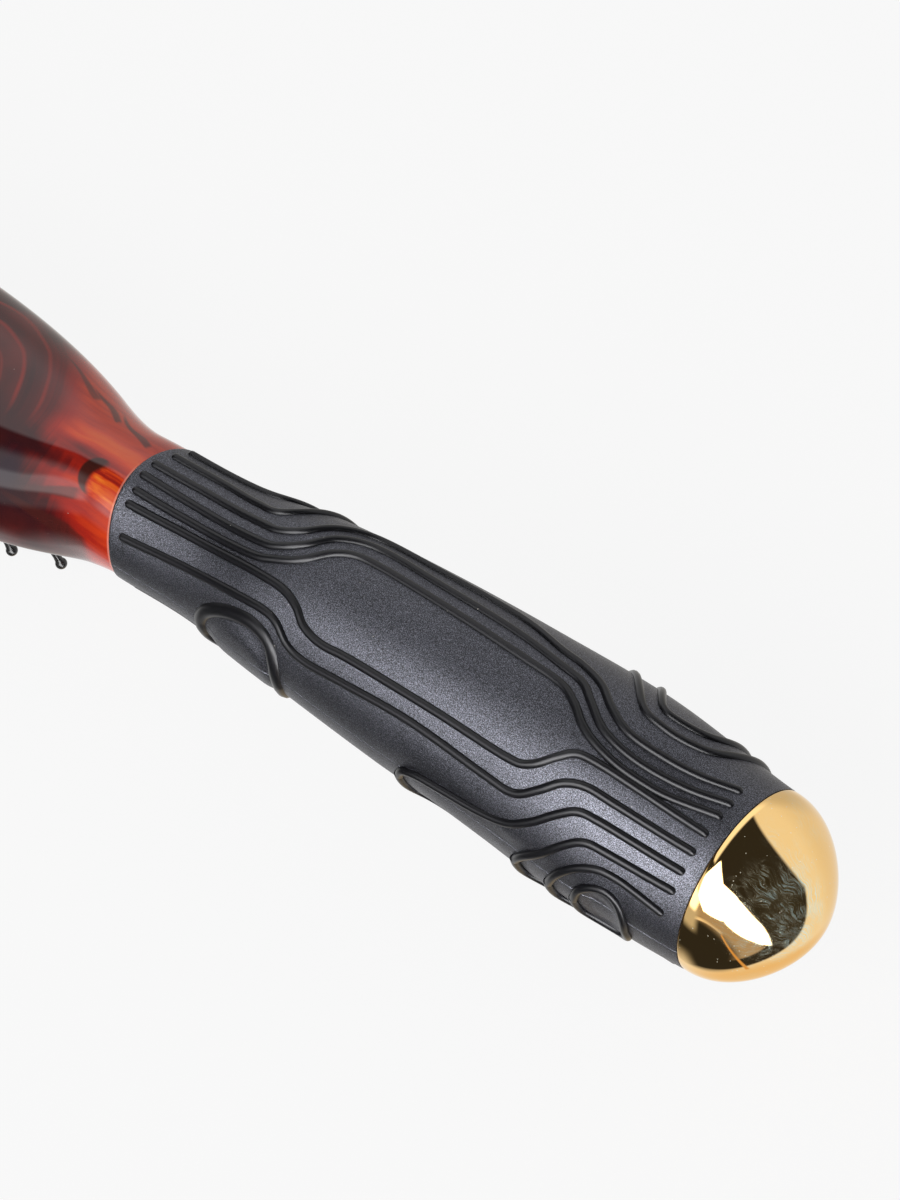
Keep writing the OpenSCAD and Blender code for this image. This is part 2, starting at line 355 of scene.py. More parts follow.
def brush_body(material):
    """Head, neck and core in one moulding, with the pocket for the cushion and the blind bore."""
    a = ring_angles(HEAD_SIDES)
    head = [head_ring(math.pi * (1 - i / HEAD_RINGS), a) for i in range(1, HEAD_RINGS + 1)]
    core = [grip_ring(x, grip_r(x) - RUBBER_T, a) for x in np.linspace(0, GRIP_L, CORE_RINGS)]
    plug = [circle(x, PLUG_R, a) for x in (GRIP_L, GRIP_L + PLUG_L)]
    tip, end = (-HEAD_L, 0, -WAIST_DROP), (GRIP_L + PLUG_L, 0, 0)
    obj = make_object("tortoiseshell_body", [shell(head + core + plug, tip, end)], material)
    cut(
        obj,
        prism(0, -RIM_DROP - OVERRUN, -RIM_DROP + PAD_EDGE_T),
        prism(SHOULDER_W, -RIM_DROP - OVERRUN, -RIM_DROP + POCKET_DEPTH),
        bore_cutter(),
    )
    shade(obj)
    return obj


# Paths of the raised cords on the back half of the grip: share of its length, and degrees from
# the back's middle towards +Y. The front half mirrors them, and a path that ends just past 90
# degrees meets its mirrored cord there.
CORD_PATHS = [
    [(0.015, 53), (0.1, 55), (0.155, 57), (0.185, 63), (0.205, 73), (0.222, 83), (0.235, 91)],
    [(0.015, 35), (0.1, 36), (0.17, 32), (0.205, 31), (0.232, 43), (0.25, 59), (0.264, 75),
     (0.28, 91)],
    [(0.01, 17), (0.1, 18), (0.2, 15), (0.235, 15), (0.265, 23), (0.29, 38), (0.32, 49), (0.36, 54),
     (0.45, 52), (0.58, 50), (0.66, 41), (0.7, 38), (0.74, 32), (0.775, 22), (0.815, 15),
     (0.865, 15), (0.92, 19), (0.975, 28)],
    [(0.01, 4), (0.1, 3), (0.22, 1), (0.255, 4), (0.285, 14), (0.31, 29), (0.345, 38), (0.39, 40),
     (0.47, 37), (0.6, 34), (0.68, 29), (0.72, 26), (0.75, 18), (0.785, 9), (0.825, 5), (0.87, 5),
     (0.925, 9), (0.98, 17)],
    [(0.015, -10), (0.1, -10), (0.22, -10), (0.26, -6), (0.295, 2), (0.325, 17), (0.355, 24),
     (0.4, 25), (0.5, 23), (0.63, 20), (0.7, 18), (0.735, 12), (0.76, 5), (0.79, 0), (0.83, -3),
     (0.87, -3), (0.91, -1), (0.98, 7)],
    [(0.015, -22), (0.1, -20), (0.2, -19), (0.26, -19), (0.3, -20), (0.33, -25), (0.355, -33),
     (0.39, -36), (0.44, -34), (0.58, -32), (0.7, -31), (0.735, -27), (0.76, -17), (0.78, -10),
     (0.81, -8), (0.88, -7), (0.98, -6)],
    [(0.02, -48), (0.15, -42), (0.24, -39), (0.29, -38), (0.315, -41), (0.34, -49), (0.375, -52),
     (0.44, -49), (0.55, -45), (0.68, -46), (0.73, -45), (0.76, -36), (0.785, -26), (0.815, -21),
     (0.86, -20), (0.98, -18)],
    [(0.546, -91), (0.556, -82), (0.58, -77), (0.62, -74), (0.68, -70), (0.73, -64), (0.765, -54),
     (0.795, -42), (0.82, -34), (0.85, -32), (0.9, -31), (0.98, -30)],
    [(0.745, -91), (0.76, -81), (0.79, -68), (0.82, -54), (0.845, -46), (0.88, -44), (0.98, -42)],
    [(0.8, -91), (0.815, -77), (0.84, -64), (0.87, -56), (0.9, -54), (0.93, -55), (0.975, -58)],
    [(0.84, -91), (0.85, -78), (0.87, -69), (0.893, -66), (0.91, -70), (0.918, -80), (0.918, -91)],
    [(0.71, 91), (0.74, 68), (0.775, 47), (0.805, 34), (0.835, 31), (0.87, 32), (0.905, 38),
     (0.925, 50), (0.938, 68), (0.942, 91)],
    [(0.755, 91), (0.78, 70), (0.8, 54), (0.82, 44), (0.845, 43), (0.88, 48), (0.897, 58),
     (0.906, 72), (0.91, 91)],
]
# The cords that take another course on the front half, straight around from the side at first
FRONT_CORD_PATHS = {
    7: [(0.546, -91), (0.546, -82), (0.549, -72), (0.562, -62), (0.59, -57), (0.64, -56),
        (0.7, -55), (0.735, -52), (0.765, -46), (0.795, -39), (0.82, -34), (0.85, -32), (0.9, -31),
        (0.98, -30)],
    8: [(0.745, -91), (0.745, -81), (0.749, -72), (0.765, -64), (0.79, -58), (0.82, -51),
        (0.845, -46), (0.88, -44), (0.98, -42)],
    9: [(0.8, -91), (0.8, -82), (0.804, -74), (0.818, -67), (0.84, -61), (0.87, -56), (0.9, -54),
        (0.93, -55), (0.975, -58)],
    10: [(0.84, -91), (0.841, -82), (0.847, -75), (0.862, -70), (0.893, -68), (0.91, -72),
         (0.918, -81), (0.918, -91)],
}
# The thumb pad's rim, and the one cord that only the front half has on each side
PAD_RIM_PATH = [(0.178, -91), (0.18, -78), (0.195, -65), (0.23, -55), (0.275, -51), (0.31, -56),
                (0.323, -68), (0.327, -80), (0.329, -91)]
EDGE_CORD_PATH = [(0.035, -103), (0.1, -103), (0.165, -103)]
CORD_R, CORD_SINK = 0.71, 0.08
EDGE_CORD_SINK = 0.62
PAD_RIM_R, PAD_RIM_SINK = 1.4, 0.72
CORD_STEP = 0.6
MEETING = (90, 95)
# Crowned thumb pad and dished places on the grip's -Y side: share of its length, half length,
# half width, and depth, which is below 0 where it rises
DISHES = [(0.262, 8.5, 8.0, -0.6), (0.881, 3.4, 5.6, 0.4), (0.81, 20, 7, 0.2), (0.64, 19, 8, 0.2)]
DISH_EDGE = 0.4
# The line along each side where the mould parts, in degrees from the back's middle, with the
# points across it, the space that they need, and the step between the other points
PARTING = 81
PARTING_DEPTH = 0.08
PARTING_POINTS = (-0.9, -0.4, 0, 0.4, 0.9)
PARTING_SPACE = 1.2
SLEEVE_STEP = 1.5


def through(path, steps=8):
    """Rounded line through the places of a path, in mm along the grip and radians around it."""
    p = np.array(path, float) * (GRIP_L, math.pi / 180)
    p = np.concatenate([[2 * p[0] - p[1]], p, [2 * p[-1] - p[-2]]])
    line = []
    for i in range(1, len(p) - 2):
        for t in np.arange(steps) / steps:
            line.append(
                0.5 * (2 * p[i] + (p[i + 1] - p[i - 1]) * t
                       + (2 * p[i - 1] - 5 * p[i] + 4 * p[i + 1] - p[i + 2]) * t * t
                       + (3 * p[i] - p[i - 1] - 3 * p[i + 1] + p[i + 2]) * t**3)
            )
    return np.array(line + [p[-2]])


def on_grip(x, side, rise=0.0):
    """Points above the grip's surface, side in radians from the back's middle towards +Y."""
    a = math.pi / 2 - side
    r = grip_r(x) + rise
    return np.stack([x + bow(x, a), r * np.cos(a), grip_z(x) + r * np.sin(a)], -1)


def meets_mirrored(place):
    return MEETING[0] <= abs(place[1]) <= MEETING[1]


def cord_shell(path, radius=CORD_R, sink=CORD_SINK, front=False):
    """Round cord half sunk in the grip along a path, with round ends where it meets no other."""
    line = through(path)
    if front:
        line[:, 1] = math.copysign(math.pi, path[0][1]) - line[:, 1]
    steps = np.hypot(np.diff(line[:, 0]), np.diff(line[:, 1]) * grip_r(line[1:, 0]))
    run = np.concatenate([[0], np.cumsum(steps)])
    ticks = np.linspace(0, run[-1], round(run[-1] / CORD_STEP))
    thick = np.full(len(ticks), radius)
    rounding = radius * (1 - np.cos(CORD_ARC))
    swell = np.sqrt(radius**2 - (radius - rounding) ** 2)
    if not meets_mirrored(path[0]):
        keep = ticks > radius
        ticks = np.concatenate([rounding, ticks[keep]])
        thick = np.concatenate([swell, thick[keep]])
    if not meets_mirrored(path[-1]):
        keep = ticks < run[-1] - radius
        ticks = np.concatenate([ticks[keep], run[-1] - rounding[::-1]])
        thick = np.concatenate([thick[keep], swell[::-1]])
    x, side = (np.interp(ticks, run, line[:, k]) for k in (0, 1))
    middle = on_grip(x, side, -sink)
    ahead = np.gradient(middle, axis=0)
    ahead /= np.linalg.norm(ahead, axis=1)[:, None]
    across = np.cross(ahead, np.stack([np.zeros_like(side), np.sin(side), np.cos(side)], -1))
    across /= np.linalg.norm(across, axis=1)[:, None]
    up = np.cross(across, ahead)
    turn = ring_angles(CORD_SIDES)[None, :, None]
    outwards = np.cos(turn) * across[:, None] + np.sin(turn) * up[:, None]
    rings = middle[:, None] + thick[:, None, None] * outwards
    return shell(list(rings), middle[0], middle[-1])


def relief(x, side):
    """Height of the grip's surface at its dished places and at the parting lines."""
    height = np.zeros_like(x)
    for share, half_x, half_side, depth in DISHES:
        off = (side + math.pi / 2) * grip_r(x)
        q = np.hypot((x - share * GRIP_L) / half_x, off / half_side)
        height -= depth * smooth((1 - q) / DISH_EDGE)
    height -= PARTING_DEPTH * np.isclose(abs(side), math.radians(PARTING))
    return height


def grip_sleeve(material):
    """Rubber grip as a closed tube around the core, with its raised cords."""
    even = np.arange(-180, 180, SLEEVE_STEP)
    even = even[abs(abs(even) - PARTING) > PARTING_SPACE]
    lines = [half * (PARTING + off) for half in (-1, 1) for off in PARTING_POINTS]
    side = np.radians(np.sort(np.concatenate([even, lines])))
    lip = EDGE_ROUND * (1 - np.cos(quarter(CURVE_RINGS)))
    rings = []
    for x in np.concatenate([lip, np.linspace(2 * EDGE_ROUND, GRIP_L, SLEEVE_RINGS)]):
        fall = EDGE_ROUND - math.sqrt(EDGE_ROUND**2 - max(EDGE_ROUND - x, 0) ** 2)
        along = np.full_like(side, x)
        rings.append(on_grip(along, side, relief(along, side) - fall))
    for x in np.linspace(GRIP_L, 0, LINING_RINGS):
        rings.append(on_grip(np.full_like(side, x), side, -RUBBER_T))
    sleeve = shell(rings, tube=True)
    cords = [cord_shell(path) for path in CORD_PATHS]
    for i, path in enumerate(CORD_PATHS):
        cords.append(cord_shell(FRONT_CORD_PATHS.get(i, path), front=True))
    cords += [cord_shell(PAD_RIM_PATH, PAD_RIM_R, PAD_RIM_SINK, front) for front in (False, True)]
    for half in (-1, 1):
        path = [(x, half * around) for x, around in EDGE_CORD_PATH]
        cords.append(cord_shell(path, sink=EDGE_CORD_SINK))
    obj = make_object("ribbed_grip", [sleeve] + cords, material)
    marks = obj.data.attributes.new("cord", "FLOAT", "POINT")
    on_sleeve = len(sleeve[0])
    on_cords = len(obj.data.vertices) - on_sleeve
    marks.data.foreach_set("value", [0.0] * on_sleeve + [1.0] * on_cords)
    shade(obj)
    return obj


def dome_share(t):
    """The cap dome's radius as a share of its foot, at t radians of a ball that it stays inside."""
    return math.cos(t) * (1 - DOME_TAPER * math.sin(t) ** 2)


def end_cap(material):
    """Hollow domed cap with a small rounded lip where it meets the rubber."""
    hole_r, hole_l = PLUG_R + PLUG_GAP, PLUG_L + PLUG_GAP
    outside_l, inside_l = CAP_L - CAP_SKIRT, CAP_L - CAP_WALL - hole_l
    arc = quarter(CAP_RINGS)[:-1]
    inside = [(hole_l + inside_l * math.sin(t), hole_r * dome_share(t)) for t in arc[::-1]]
    flat_r = GRIP_END_R - CAP_LIP
    front = [(0, hole_r), (0, flat_r)]
    turn = quarter(CURVE_RINGS)[1:]
    lip = [(CAP_LIP * (1 - math.cos(t)), flat_r + CAP_LIP * math.sin(t)) for t in turn]
    outside = [(CAP_SKIRT + outside_l * math.sin(t), GRIP_END_R * dome_share(t)) for t in arc]
    profile = [(GRIP_L + x, r) for x, r in inside + front + lip + outside]
    end_x = GRIP_L + CAP_L
    obj = make_object("gold_cap", [turned(profile, end_x - CAP_WALL, end_x, CAP_SIDES)], material)
    shade(obj)
    return obj


def pad_z(reach):
    return -RIM_DROP - PAD_CROWN * (1 - reach**CROWN_POWER)


def row_x(i):
    return (PAD_A - PIN_END_INSET) * (1 - 2 * i / (PIN_ROWS - 1))


def row_y(i):
    """Places of the pins across row i, each second row staggered by half a step."""
    share = row_x(i) / (PAD_A - PIN_END_INSET)
    half = (PAD_B - PIN_SIDE_INSET) * math.sqrt(1 - (1 - ROW_END_SHARE**2) * share**2)
    gaps = max(1, math.floor(2 * half / PIN_PITCH + 0.5))
    odd = i % 2
    return [-half + (k + odd / 2) * 2 * half / gaps for k in range(gaps + 1 - odd)]


def pin_place(i, y):
    """Foot of a pin on the cushion, the direction it leans in and its lean."""
    x = row_x(i)
    reach = ((abs(x) / PAD_A) ** PLAN_POWER + (abs(y) / PAD_B) ** PLAN_POWER) ** (1 / PLAN_POWER)
    lean = PIN_SPLAY * math.hypot(x, y) / (PAD_A - PIN_END_INSET)
    return Vector((PAD_X + x, y, pad_z(reach))), math.atan2(y, x), lean


def pin_profile():
    """Half outline of a pin, from its ball to its foot behind the membrane: (height, radius)."""
    centre = BALL_R - PIN_L
    ball = [(centre - BALL_R * math.cos(t), BALL_R * math.sin(t)) for t in BALL_ARC]
    neck = [(centre + NECK_RISE, PIN_NECK_R + NECK_EXTRA_R), (centre + NECK_START, PIN_NECK_R)]
    flare = [(-FLARE_L, PIN_ROOT_R - FLARE_R), (0, PIN_ROOT_R), (MEMBRANE_T, PIN_ROOT_R)]
    top = MEMBRANE_T + FOOT_T
    foot = [(MEMBRANE_T, FOOT_R - FOOT_EDGE), (MEMBRANE_T + FOOT_EDGE, FOOT_R)]
    foot += [(top - FOOT_EDGE, FOOT_R), (top, FOOT_R - FOOT_EDGE)]
    return ball + neck + flare + foot


def pin_row(i, material):
    a = ring_angles(PIN_SIDES)
    rings = [level_circle(0, z, r, a) for z, r in pin_profile()]
    corners, faces = shell(rings, (0, 0, -PIN_L), (0, 0, MEMBRANE_T + FOOT_T))
    pins = []
    for y in row_y(i):
        place, turn, lean = pin_place(i, y)
        spin = np.array(Matrix.Rotation(turn, 3, "Z") @ Matrix.Rotation(-lean, 3, "Y"))
        pins.append((corners @ spin.T + np.array(place), faces))
    obj = make_object(f"pins_{i + 1:02d}", pins, material)
    shade(obj, PIN_CREASE)
    return obj


def cushion(material):
    """Crowned rubber membrane with a thick edge, a raised socket round each pin and an air vent."""
    front = [plan_ring(pad_z(q), PAD_GAP, q) for q in FRONT_REACHES]
    feet = np.array([pin_place(i, y)[0][:2] for i in range(PIN_ROWS) for y in row_y(i)])
    for ring in front:
        gaps = np.hypot(ring[:, None, 0] - feet[:, 0], ring[:, None, 1] - feet[:, 1])
        away = (np.min(gaps, axis=1) - PIN_ROOT_R) / SOCKET_W
        ring[:, 2] -= SOCKET_RISE * (1 - smooth(away))
    edge_z = -RIM_DROP + PAD_EDGE_T
    edge = [plan_ring(edge_z, PAD_GAP, reach) for reach in (1, 1 - SHOULDER_W / PAD_B)]
    back = [plan_ring(pad_z(q) + MEMBRANE_T, PAD_GAP, q) for q in BACK_REACHES]
    first, last = (PAD_X, 0, pad_z(0)), (PAD_X, 0, pad_z(0) + MEMBRANE_T)
    obj = make_object("pin_cushion", [shell(front + edge + back, first, last)], material)
    a = ring_angles(VENT_SIDES)
    hole = [level_circle(PAD_X, z, VENT_R, a) for z in VENT_ENDS]
    ends = [(PAD_X, 0, z) for z in VENT_ENDS]
    cut(obj, make_object("cutter", [shell(hole, *ends)]))
    shade(obj)
    return obj


class Nodes:
    """Short calls for building the node tree of one material or world."""

    def __init__(self, owner):
        owner.use_nodes = True
        self.owner, self.tree = owner, owner.node_tree
        self.tree.nodes.clear()
        kind = "World" if isinstance(owner, bpy.types.World) else "Material"
        self.output = self.tree.nodes.new("ShaderNodeOutput" + kind)

    def node(self, kind, inputs=None, **settings):
        made = self.tree.nodes.new("ShaderNode" + kind)
        for key, value in settings.items():
            setattr(made, key, value)
        for key, value in (inputs or {}).items():
            self.feed(made.inputs[key], value)
        return made

    def feed(self, socket, value):
        if isinstance(value, bpy.types.NodeSocket):
            self.tree.links.new(value, socket)
        else:
            socket.default_value = value

    def place(self):
        """Position in the handle's frame, in millimetres."""
        at = self.node("TexCoord").outputs["Object"]
        return self.vector("MULTIPLY_ADD", at, (1 / MM,) * 3, tuple(-ORIGIN))

    def vector(self, operation, *values):
        made = self.node("VectorMath", dict(enumerate(values)), operation=operation)
        number = operation in ("DOT_PRODUCT", "LENGTH", "DISTANCE")
        return made.outputs["Value" if number else "Vector"]

    def split(self, vector):
        return self.node("SeparateXYZ", {0: vector}).outputs

    def math(self, operation, *values):
        return self.node("Math", dict(enumerate(values)), operation=operation).outputs[0]

    def product(self, first, *others):
        for other in others:
            first = self.math("MULTIPLY", first, other)
        return first

    def largest(self, first, *others):
        for other in others:
            first = self.math("MAXIMUM", first, other)
        return first

    def step(self, value, start, end, low=0.0, high=1.0):
        """Smooth step from low to high while value goes from start to end."""
        inputs = {"Value": value, "From Min": start, "From Max": end, "To Min": low, "To Max": high}
        return self.node("MapRange", inputs, interpolation_type="SMOOTHSTEP").outputs[0]

    def band(self, value, middle, edge, core=0.0):
        """1 where value is within core of the middle, 0 where it is beyond edge."""
        off = self.math("ABSOLUTE", self.math("SUBTRACT", value, middle))
        return self.step(off, edge, core)

    def noise(self, at, scale, detail=2, stretch=(1, 1, 1), output="Fac"):
        stretched = self.vector("MULTIPLY", at, stretch)
        inputs = {"Vector": stretched, "Scale": scale, "Detail": detail}
        return self.node("TexNoise", inputs).outputs[output]

    def bend(self, at, scale, amount, detail=0):
        """Position moved about by a slow noise, so that what follows it bends."""
        drift = self.vector("SUBTRACT", self.noise(at, scale, detail, output="Color"), grey(0.5))
        return self.vector("MULTIPLY_ADD", drift, grey(amount), at)

    def ramp(self, value, *stops, interpolation="LINEAR"):
        made = self.node("ValToRGB", {"Fac": value})
        ramp = made.color_ramp
        ramp.interpolation = interpolation
        while len(ramp.elements) < len(stops):
            ramp.elements.new(0.5)
        for element, (place, level) in zip(ramp.elements, stops):
            element.position = place
            element.color = (*level, 1) if isinstance(level, tuple) else (*grey(level), 1)
        return made.outputs["Color"]

    def lookup(self, value, table, furthest, interpolation="LINEAR"):
        """Level at value in a table of (place, level), where no level is beyond the furthest."""
        start, end = table[0][0], table[-1][0]
        stops = [((place - start) / (end - start), level / furthest) for place, level in table]
        share = self.math("DIVIDE", self.math("SUBTRACT", value, start), end - start)
        return self.product(self.ramp(share, *stops, interpolation=interpolation), furthest)

    def blend(self, factor, a, b, mode="MIX"):
        made = self.node("Mix", {"Factor": factor}, data_type="RGBA", blend_type=mode)
        sockets = {socket.identifier: socket for socket in [*made.inputs, *made.outputs]}
        for name, value in (("A_Color", a), ("B_Color", b)):
            self.feed(sockets[name], (*value, 1) if isinstance(value, tuple) else value)
        return sockets["Result_Color"]

    def spot(self, at, centre, radii, soft=0.5):
        """1 inside an ellipse seen from above, 0 outside it."""
        share = tuple(1 / r for r in radii) + (0,)
        off = tuple(-c / r for c, r in zip(centre, radii)) + (0,)
        reach = self.vector("LENGTH", self.vector("MULTIPLY_ADD", at, share, off))
        return self.step(reach, 1 + soft / 2, 1 - soft / 2)

    def stroke(self, at, start, end, half_width):
        """1 on a straight stroke seen from above, which gets thicker from its start to its end."""
        (x0, y0), (x1, y1) = start, end
        length = math.hypot(x1 - x0, y1 - y0)
        flat = self.vector("MULTIPLY_ADD", at, (1, 1, 0), (-x0, -y0, 0))
        along = self.vector("DOT_PRODUCT", flat, ((x1 - x0) / length, (y1 - y0) / length, 0))
        across = self.vector("DOT_PRODUCT", flat, ((y0 - y1) / length, (x1 - x0) / length, 0))
        width = self.step(along, 0, length, half_width * 0.3, half_width)
        inside = self.math("SUBTRACT", width, self.math("ABSOLUTE", across))
        before_end = self.step(along, length + half_width, length - half_width)
        after_start = self.step(along, -half_width, length / 3)
        return self.product(self.step(inside, -0.22, 0.18), before_end, after_start)

    def specks(self, at, spacing, size):
        """Sparse points: 1 within size of one point in about every third cell of a grid."""
        cells = self.node("TexVoronoi", {"Vector": at, "Scale": 1 / spacing})
        chosen = self.math("GREATER_THAN", self.split(cells.outputs["Color"])[0], 0.66)
        near = self.step(cells.outputs["Distance"], 1.5 * size / spacing, size / spacing)
        return self.product(near, chosen)

    def finish(self, shader):
        self.tree.links.new(shader.outputs[0], self.output.inputs["Surface"])
        return self.owner


# Rubber: scale of its grain, the heights of the grain between which it turns to a fleck and to
# metal, and how metallic and how rough it is
GRAIN = 7.5
FLECK_RANGE, METAL_RANGE = (0.36, 0.74), (0.30, 0.5)
RUBBER, CORD_RUBBER, FLECK = (0.012, 0.012, 0.014), (0.009, 0.009, 0.011), (0.215, 0.22, 0.26)
RUBBER_DUST = (0.45, 0.42, 0.38)
FLECK_METAL, CORD_METAL = 0.96, 0.4
RUBBER_ROUGH, CORD_ROUGH = (0.38, 0.44), 0.33


def rubber_material():
    """Satin rubber with a grain of sparkling flecks, plain and smoother on the raised cords."""
    n = Nodes(bpy.data.materials.new("grip_rubber"))
    at = n.place()
    cord = n.node("Attribute", attribute_name="cord").outputs["Fac"]
    plain = n.math("SUBTRACT", 1.0, cord)
    grain = n.noise(at, GRAIN)
    flecks = n.product(n.step(grain, *FLECK_RANGE), plain)
    metal = n.product(n.step(grain, *METAL_RANGE), plain)
    colour = n.blend(cord, RUBBER, CORD_RUBBER)
    colour = n.blend(flecks, colour, FLECK)
    colour = n.blend(n.specks(at, 2.4, 0.055), colour, RUBBER_DUST)
    rough = n.ramp(n.noise(at, 0.12, detail=3), (0.3, RUBBER_ROUGH[0]), (0.7, RUBBER_ROUGH[1]))
    strength = n.step(cord, 0, 1, 0.5, 0.05)
    bump = n.node("Bump", {"Height": grain, "Strength": strength, "Distance": 0.00012})
    inputs = {
        "Base Color": colour,
        "Metallic": n.math("MULTIPLY_ADD", metal, FLECK_METAL, n.product(cord, CORD_METAL)),
        "Roughness": n.blend(cord, rough, grey(CORD_ROUGH)),
        "Normal": bump.outputs["Normal"],
    }
    return n.finish(n.node("BsdfPrincipled", inputs))


# Gold: the middle of the place where a thumb has smudged it, with the distances at which the
# smudge has gone and is full, and how metallic and how rough the plate is when clean and hazy
THUMB_MARK, THUMB_RANGE = (121.8, -4, 8), (10.5, 4.5)
GOLD, HAZE, GOLD_DUST = (0.95, 0.63, 0.26), (0.68, 0.86, 0.78), (0.85, 0.8, 0.62)
GOLD_METAL, DUST_METAL_LOSS = (1.0, 0.82), 0.4
GOLD_ROUGH = (0.035, 0.12)


def gold_material():
    """Polished gold plate with a thin bluish haze of smudges and wiping marks, and dust."""
    n = Nodes(bpy.data.materials.new("gold_plate"))
    at = n.place()
    faint = n.step(n.noise(at, 0.16, detail=3), 0.46, 0.66, 0.0, 0.2)
    smudge = n.largest(faint, n.step(n.vector("DISTANCE", at, THUMB_MARK), *THUMB_RANGE))
    cloudy = n.step(n.noise(at, 0.45, detail=3), 0.36, 0.6, 0.3, 1.0)
    drift = n.vector("MULTIPLY", n.noise(at, 0.25, output="Color"), grey(4))
    x, y, z = n.split(n.vector("ADD", at, drift))
    around = n.product(n.math("ARCTAN2", y, z), GRIP_END_R)
    swept = n.node("CombineXYZ", {0: x, 1: around}).outputs[0]
    wiping = n.step(n.noise(swept, 4.5, detail=4, stretch=(0.13, 1, 1)), 0.36, 0.66)
    haze = n.product(smudge, cloudy, wiping)
    dust = n.specks(at, 0.8, 0.07)
    metal = n.step(haze, 0, 1, *GOLD_METAL)
    inputs = {
        "Base Color": n.blend(dust, n.blend(haze, GOLD, HAZE), GOLD_DUST),
        "Metallic": n.math("SUBTRACT", metal, n.product(dust, DUST_METAL_LOSS)),
        "Roughness": n.step(haze, 0, 1, *GOLD_ROUGH),
    }
    return n.finish(n.node("BsdfPrincipled", inputs))


# Marks of the tortoiseshell as they lie on the back, seen from above in the handle's frame: thin
# rings round the swirl as (radius, half width, strength), dark strokes as (start, end, half width,
# depth), for each place across the neck the x at which the dark head turns to red, and bright or
# dark glows on the neck as (centre, radii, change of tone)
SWIRL_CENTRE = (-38, -2)
RINGS = [(3.2, 0.3, 0.45), (6.0, 0.3, 0.5), (9.4, 0.25, 0.5), (12.9, 0.35, 0.95), (16.7, 0.32, 0.9),
         (20.3, 0.25, 0.5)]
STROKES = [
    ((-27, 12.9), (-15.9, 8.6), 0.46, 0.7),
    ((-18.8, 10.4), (-10.1, 7.0), 0.5, 0.8),
    ((-13, 9.3), (-2.8, 5.4), 0.5, 0.8),
    ((-18, -9.7), (-7.6, -6.3), 0.7, 0.75),
    ((-22, -11.2), (-4.5, -10.6), 0.8, 0.7),
]
TURN_TO_RED = [(-12, -4), (-10, -8), (-8.5, -11), (-6.5, -14), (-5, -13.5), (-4, -9), (-3, -9.5),
               (-2, -13.5), (-1, -16.5), (0, -17.5), (2, -18), (4, -19), (8, -21.5), (14, -26.5)]
FURTHEST_TURN = -30
GLOWS = [
    ((-6, 1.8), (9, 1.9), 0.22),
    ((-1.5, -8.2), (5, 1.6), 0.08),
    ((-7, -8.8), (6, 2.4), -0.14),
    ((-11.5, -6.1), (4.5, 1.4), -0.06),
    ((-15, -5.1), (4.5, 0.7), 0.03),
    ((-17, 0.4), (3, 1.6), 0.06),
    ((-13.5, -2.9), (6.5, 1.7), 0.17),
    ((-13, 8), (8, 2.4), 0.05),
    ((-8.5, -0.8), (6, 1.7), -0.4),
]
PURPLE_SPOT = ((-20, -8.4), (2.0, 2.5))
# The bore's round end, where shade is painted, with the opening in that painted shade, and the tone
# of the streaks that lie across the neck over the bore
BORE_END = ((-6.2, -2.9), (2.85, 2.85))
BORE_OPENING = ((-4.7, -3.7), (2.2, 2.4))
BORE_STREAKS = [(-6.5, 0.5), (-5.9, 0.78), (-5.2, 1.02), (-4.6, 0.85), (-4, 0.74), (-3.3, 0.95),
                (-2.9, 0.75), (-2.6, 0.42), (-2.2, 0.6), (-1.5, 0.7), (-0.9, 0.5)]
BRIGHTEST_TONE = 1.2
# Colours of the head by cloudiness, of the neck by share of the brightest tone, and of the marks
HEAD_COLOURS = [
    (0.38, (0.024, 0.006, 0.008)), (0.5, (0.045, 0.007, 0.007)), (0.68, (0.10, 0.010, 0.008)),
]
NECK_COLOURS = [
    (0.0, (0.040, 0.006, 0.007)), (0.2, (0.12, 0.008, 0.007)), (0.42, (0.29, 0.014, 0.007)),
    (0.62, (0.50, 0.042, 0.009)), (0.83, (0.62, 0.11, 0.014)), (1.0, (0.76, 0.21, 0.025)),
]
HEAD_SIDE, RING_RED, PURPLE = (0.11, 0.009, 0.012), (0.20, 0.014, 0.009), (0.010, 0.004, 0.014)
# The second colour here is painted shade where the bore's round end shows through the neck.
STROKE, BORE_SHADOW = (0.05, 0.010, 0.008), (0.026, 0.008, 0.006)
# The first colour here is a painted highlight along the plastic's edge where it meets the rubber.
EDGE_HIGHLIGHT, SHELL_DUST = (0.80, 0.36, 0.27), (0.5, 0.4, 0.36)


def head_colour(n, at, y):
    """Dark brown with cloudy red patches, redder along the +Y side."""
    patch = n.noise(at, 0.06, detail=3)
    edge = n.product(n.step(y, 11, 15), n.step(patch, 0.4, 0.55, 0.2, 0.75))
    return n.blend(edge, n.ramp(patch, *HEAD_COLOURS), HEAD_SIDE)


def swirl_marks(n, at, x, y, reach):
    """Thin rings round the swirl, each with a glow inside it, and wandering threads."""
    lines = []
    for radius, half_width, strength in RINGS:
        off = n.math("SUBTRACT", reach, radius)
        outside = n.step(off, 1.7 * half_width, 0)
        line = n.product(n.step(off, -2 * half_width, 0), outside)
        glow = n.product(n.step(off, -8 * half_width, 0, 0.0, 0.3), outside)
        lines.append(n.product(n.largest(line, glow), strength))
    rings = n.product(n.largest(*lines), n.step(y, -3, 3.5), n.step(x, -58, -44))
    field = n.noise(at, 0.05, detail=1)
    wide = n.product(n.band(field, 0.44, 0.05), 0.4)
    threads = n.product(n.largest(n.band(field, 0.5, 0.012, 0.002), wide), n.step(x, -40, -52))
    return n.largest(rings, threads)


